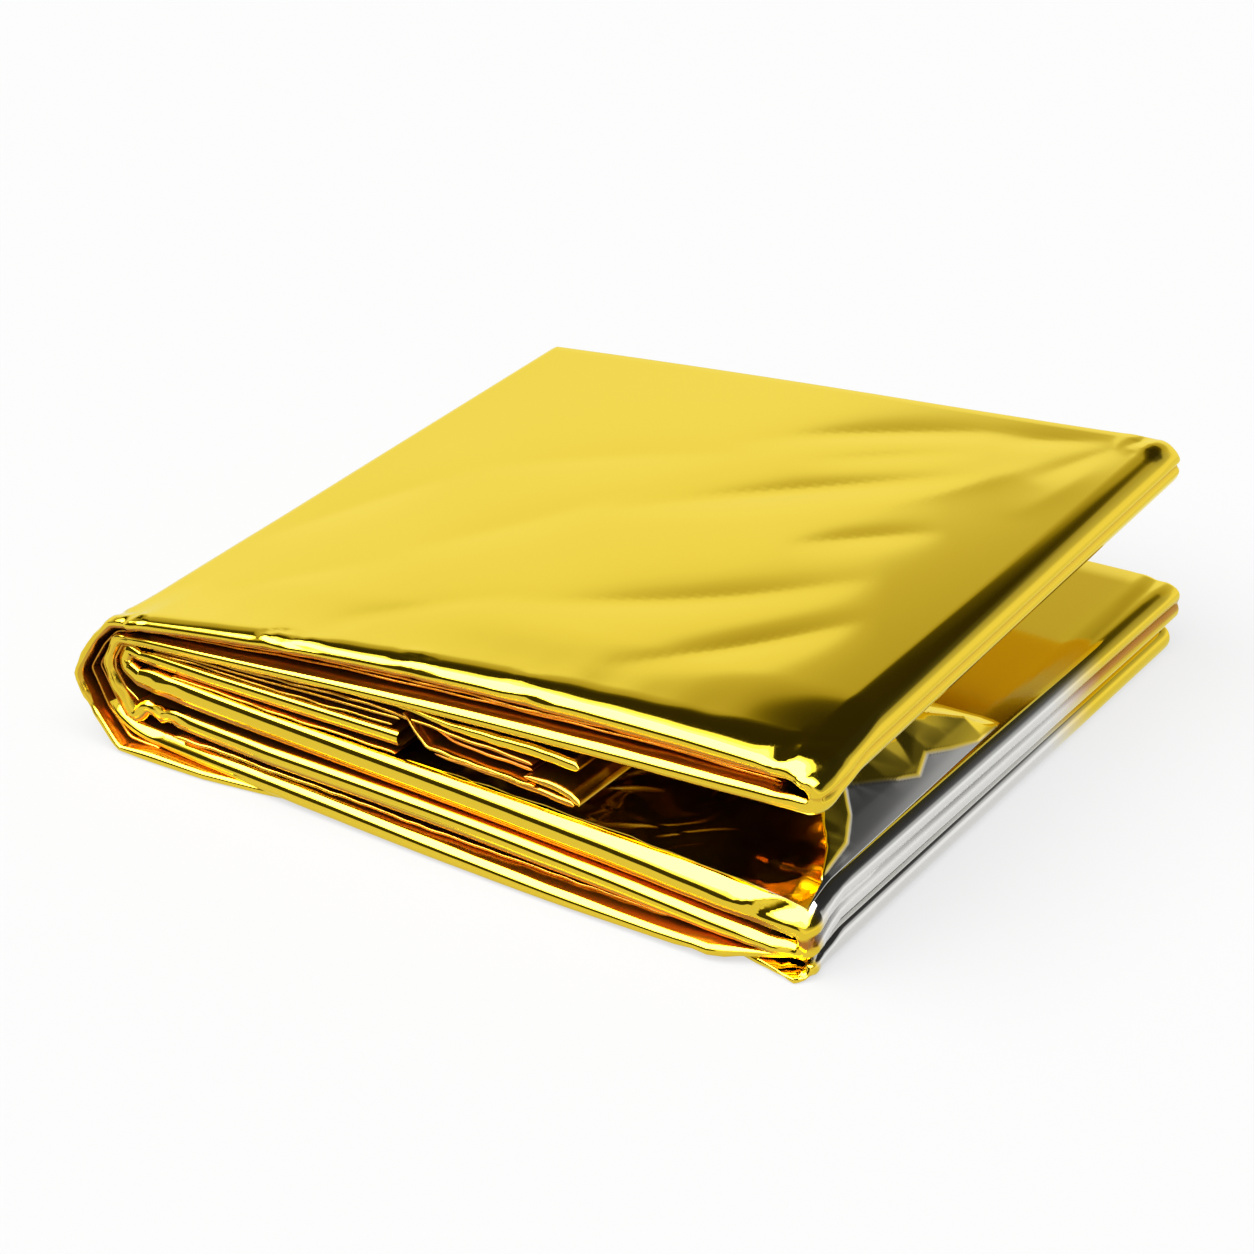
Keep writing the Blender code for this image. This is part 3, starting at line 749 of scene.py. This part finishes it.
def makeLoosePly():
    # a sheet over the wing: its height is the wing's, a gap, the facets, and the ridge, which is
    # the slope x the way in from the edge up to the crest, and ridge x (1 - way from it / run)^1.6
    # behind it; the under side closes it to a thin shell
    y = np.linspace(loosePly["front"], loosePly["back"], loosePly["stepsY"] + 1)[:, None]
    share = 1.0 - np.linspace(1.0, 0.0, loosePly["stepsX"] + 1)[None, :] ** loosePly["crowding"]
    x = blendValues(loosePly["left"], loosePly["right"], share) + 0.0 * y
    y = y + 0.0 * x
    level = np.stack([x, y, np.full_like(x, loosePly["level"])], axis=-1) / 1000.0
    facets = crumpleHeight(level, loosePly["zones"])
    ridge = np.interp(y, *np.transpose(loosePly["ridge"]))
    inward = loosePly["right"] - x
    beyond = np.maximum(inward - ridge / loosePly["steep"], 0.0)
    height = np.where(beyond > 0.0, ridge * np.clip(1.0 - beyond / loosePly["ridgeRun"], 0.0, 1.0) ** 1.6,
                      inward * loosePly["steep"])
    border = np.interp(y, *np.transpose(loosePly["border"]))
    step = loosePly["step"] * (ridge > loosePly["stepRidge"])
    height = height + step * fade(inward, border, border + loosePly["stepRun"])
    rise = np.minimum(share * loosePly["leftRise"], (loosePly["back"] - y) / loosePly["backRise"])
    facets = np.abs(facets) * np.clip(inward / loosePly["fullFacets"], *loosePly["facetRange"])
    over = ((loosePly["gap"] + height) / 1000.0 + facets) * np.minimum(1.0, rise)
    top = np.stack([x / 1000.0, y / 1000.0, wingTop(x / 1000.0, y / 1000.0) + over], axis=-1)
    under = top - np.array([0.0, 0.0, loosePly["thick"] / 1000.0])
    grid = np.concatenate([top, under[:, ::-1]], axis=1)[::-1]
    piece = joinPiece("foil_loose_ply", [grid], 30.0)
    middleX, middleY, radius = loosePly["silverPatch"]
    patch = fade(np.hypot(x - middleX, y - middleY) / radius, *loosePly["patchRim"])
    silver = np.maximum(patch, ease((border - inward) / loosePly["borderBlend"] + 0.5))
    # painted shade on the loose ply's gold, gone towards the open side
    deep = loosePly["deep"] * fade(x, *loosePly["shadeEnd"])
    for name, values in (("silver", silver), ("deep", deep)):
        setValues(piece, name, np.concatenate([values, values[:, ::-1]], axis=1)[::-1])
    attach(piece, "root")


makeLoosePly()
print("stage 5: loose ply laid on the lower wing")

studio = {
    "floorHalf": 6.0, "floorSteps": 120,
    "floorColour": 0.056,
    "floorLevel": 0.985,             # brightness that the board is lit to, all over
    "softboxHeight": 1.2, "softboxStep": 0.005,     # and how far each part hangs under the last
    # the light's parts, brighter towards its middle: two corners of each in heights, as seen from
    # the packet, and what it adds to the brightness
    "softbox": (((-1.40, -2.20), (1.00, 0.20), 2.0), ((-1.28, -1.85), (0.90, 0.09), 4.0),
                ((-1.15, -1.50), (0.80, -0.04), 9.0)),
    # surroundings: sine of the elevation, and brightness there; the second table gives, by the
    # direction's X, how much lower the walls end on that side, as a sine
    "walls": ((0.0, 1.0), (0.342, 1.13), (0.44, 1.10), (0.47, 1.07), (0.502, 0.96), (0.515, 0.86),
              (0.55, 0.71), (0.61, 0.60), (0.665, 0.49), (0.70, 0.11), (0.75, 0.04), (1.0, 0.03)),
    "wallDrop": ((-1.0, 0.13), (-0.70, 0.12), (-0.61, 0.07), (-0.56, 0.045), (-0.50, 0.04),
                 (-0.475, 0.06), (-0.455, 0.10), (-0.43, 0.13), (-0.36, 0.14), (0.25, 0.17),
                 (0.45, 0.25), (1.0, 0.27)),
    "wallShade": (1.0, 0.86, 0.18),  # the walls' colour where they are dim, except on the right
    "dimLevels": (0.30, 1.0), "rightSides": (0.05, 0.35),   # brightness and X where that colour ends
    # a dark stand: its direction, the cosines from it where it ends and starts, and its brightness
    "stand": (-0.51, -0.86, 0.0), "standEdge": (0.78, 0.86), "standLevel": 0.05,
    "wallLight": 0.3,                # what the walls add to the board, against their brightness
    "lampPieces": 20,                # pieces a side, where the softbox's light is added up
    "azimuth": 32.58, "elevation": 25.97, "distance": 0.6908,
    "target": (-0.0030, -0.0057, 0.0200),
    "sensor": 36.0,                                     # the camera's sensor width in mm
    "focalLength": 2700.0, "pictureWidth": 1254.0,      # both in pixels
}


def softboxLight(points):
    # light that a floor point gets from the softbox: the sum over small pieces of each part of
    # the brightness x area x height^2 / (pi x distance^4)
    height, total = studio["softboxHeight"], 0.0
    middles = (np.arange(studio["lampPieces"]) + 0.5) / studio["lampPieces"]
    for low, high, brightness in studio["softbox"]:
        places = [blendValues(a, b, middles) * height for a, b in zip(low, high)]
        lampX, lampY = np.meshgrid(*places, indexing="ij")
        gap = (points[:, None, 0] - lampX.ravel()) ** 2 + (points[:, None, 1] - lampY.ravel()) ** 2
        area = np.prod(np.subtract(high, low)) * height ** 2 / lampX.size
        total += brightness * (area * height ** 2 / (math.pi * (gap + height ** 2) ** 2)).sum(axis=1)
    return total


def makeFloor():
    # a matt board; its glow makes up for the softbox's fall-off away from the packet
    line = np.linspace(-1.0, 1.0, studio["floorSteps"] + 1)
    line = studio["floorHalf"] * line ** 3
    y, x = np.meshgrid(line, line, indexing="ij")
    points = np.stack([x, y, np.zeros_like(x)], axis=-1).reshape(-1, 3)
    material = bpy.data.materials.new("matt_white_board")
    material.use_nodes = True
    tree = material.node_tree
    shader = tree.nodes["Principled BSDF"]
    shader.inputs["Base Color"].default_value = (*[studio["floorColour"]] * 3, 1.0)
    shader.inputs["Roughness"].default_value = 1.0
    shader.inputs["Specular IOR Level"].default_value = 0.0
    shader.inputs["Emission Color"].default_value = (1.0, 1.0, 1.0, 1.0)
    glow = addNode(tree, "ShaderNodeAttribute", {"attribute_name": "glow"})
    tree.links.new(glow.outputs["Fac"], shader.inputs["Emission Strength"])
    faces = gridFaces(len(line), len(line), False)[:, ::-1]
    floor = meshObject("floor", points, faces, material, 30.0)
    lit = studio["floorColour"] * (softboxLight(points) + studio["wallLight"])
    setValues(floor, "glow", np.maximum(studio["floorLevel"] - lit, 0.0))


def makeSoftbox():
    for index, (low, high, brightness) in enumerate(studio["softbox"]):
        size = np.subtract(high, low) * studio["softboxHeight"]
        centre = np.add(high, low) / 2.0 * studio["softboxHeight"]
        light = bpy.data.lights.new("softbox_%d" % index, "AREA")
        light.shape = "RECTANGLE"
        light.size, light.size_y = size
        light.energy = brightness * size[0] * size[1] * math.pi
        lamp = bpy.data.objects.new("softbox_%d" % index, light)
        lamp.location = (*centre, studio["softboxHeight"] - studio["softboxStep"] * index)
        bpy.context.scene.collection.objects.link(lamp)


def curveNode(tree, source, output, stops):
    # straight lines between the stops, for values from 0 to 1
    node = addNode(tree, "ShaderNodeFloatCurve", None, None, {"Value": (source, output)})
    curve = node.mapping.curves[0]
    while len(curve.points) < len(stops):
        curve.points.new(0.5, 0.5)
    for point, (place, level) in zip(curve.points, stops):
        point.location = (place, level)
        point.handle_type = "VECTOR"
    node.mapping.update()
    return node


def makeSurroundings():
    # white walls round a dark ceiling, by the height of the direction looked in, warm where they
    # are dim, and a dark stand behind the camera's left; a curve holds no more than 1, so it gives
    # half the brightness and the stand's node doubles it
    world = bpy.data.worlds.new("studio")
    bpy.context.scene.world = world
    world.use_nodes = True
    tree = world.node_tree
    direction = addNode(tree, "ShaderNodeTexCoord")
    axes = addNode(tree, "ShaderNodeSeparateXYZ", links={0: (direction, "Generated")})
    sideways = addNode(tree, "ShaderNodeMapRange", None, {"From Min": -1.0}, {"Value": (axes, "X")})
    drop = curveNode(tree, sideways, "Result", [(place / 2.0 + 0.5, sine)
                                                for place, sine in studio["wallDrop"]])
    height = addNode(tree, "ShaderNodeMath", {"operation": "ADD"}, None,
                     {0: (axes, "Z"), 1: (drop, "Value")})
    ramp = curveNode(tree, height, "Value", [(place, level / 2.0) for place, level in studio["walls"]])
    towards = addNode(tree, "ShaderNodeVectorMath", {"operation": "DOT_PRODUCT"},
                      {1: studio["stand"]}, {0: (direction, "Generated")})
    away = addNode(tree, "ShaderNodeMapRange", {"interpolation_type": "SMOOTHSTEP"},
                   {"From Min": studio["standEdge"][0], "From Max": studio["standEdge"][1],
                    "To Min": 2.0, "To Max": 2.0 * studio["standLevel"]}, {"Value": (towards, "Value")})
    level = addNode(tree, "ShaderNodeMath", {"operation": "MULTIPLY"}, None,
                    {0: (ramp, "Value"), 1: (away, "Result")})
    bright, right = [addNode(tree, "ShaderNodeMapRange", None, {"From Min": start, "From Max": stop},
                             {"Value": source})
                     for (start, stop), source in ((studio["dimLevels"], (level, "Value")),
                                                   (studio["rightSides"], (axes, "X")))]
    plain = addNode(tree, "ShaderNodeMath", {"operation": "MAXIMUM"}, None,
                    {0: (bright, "Result"), 1: (right, "Result")})
    colour = addNode(tree, "ShaderNodeMix", {"data_type": "RGBA"},
                     {6: (*studio["wallShade"], 1.0), 7: (1.0, 1.0, 1.0, 1.0)}, {0: (plain, "Value")})
    tree.links.new(colour.outputs[2], tree.nodes["Background"].inputs["Color"])
    tree.links.new(level.outputs[0], tree.nodes["Background"].inputs["Strength"])


def makeCamera():
    azimuth, elevation = math.radians(studio["azimuth"]), math.radians(studio["elevation"])
    back = np.array([math.sin(azimuth) * math.cos(elevation), -math.cos(azimuth) * math.cos(elevation),
                     math.sin(elevation)])
    camera = bpy.data.objects.new("camera", bpy.data.cameras.new("camera"))
    camera.location = np.array(studio["target"]) + back * studio["distance"]
    camera.rotation_euler = (math.pi / 2.0 - elevation, 0.0, azimuth)
    camera.data.sensor_width = studio["sensor"]
    camera.data.lens = studio["sensor"] * studio["focalLength"] / studio["pictureWidth"]
    bpy.context.scene.collection.objects.link(camera)
    bpy.context.scene.camera = camera


makeFloor()
makeSoftbox()
makeSurroundings()
makeCamera()
bpy.context.scene.view_settings.view_transform = "Standard"
print("stage 6: floor, light and camera set")
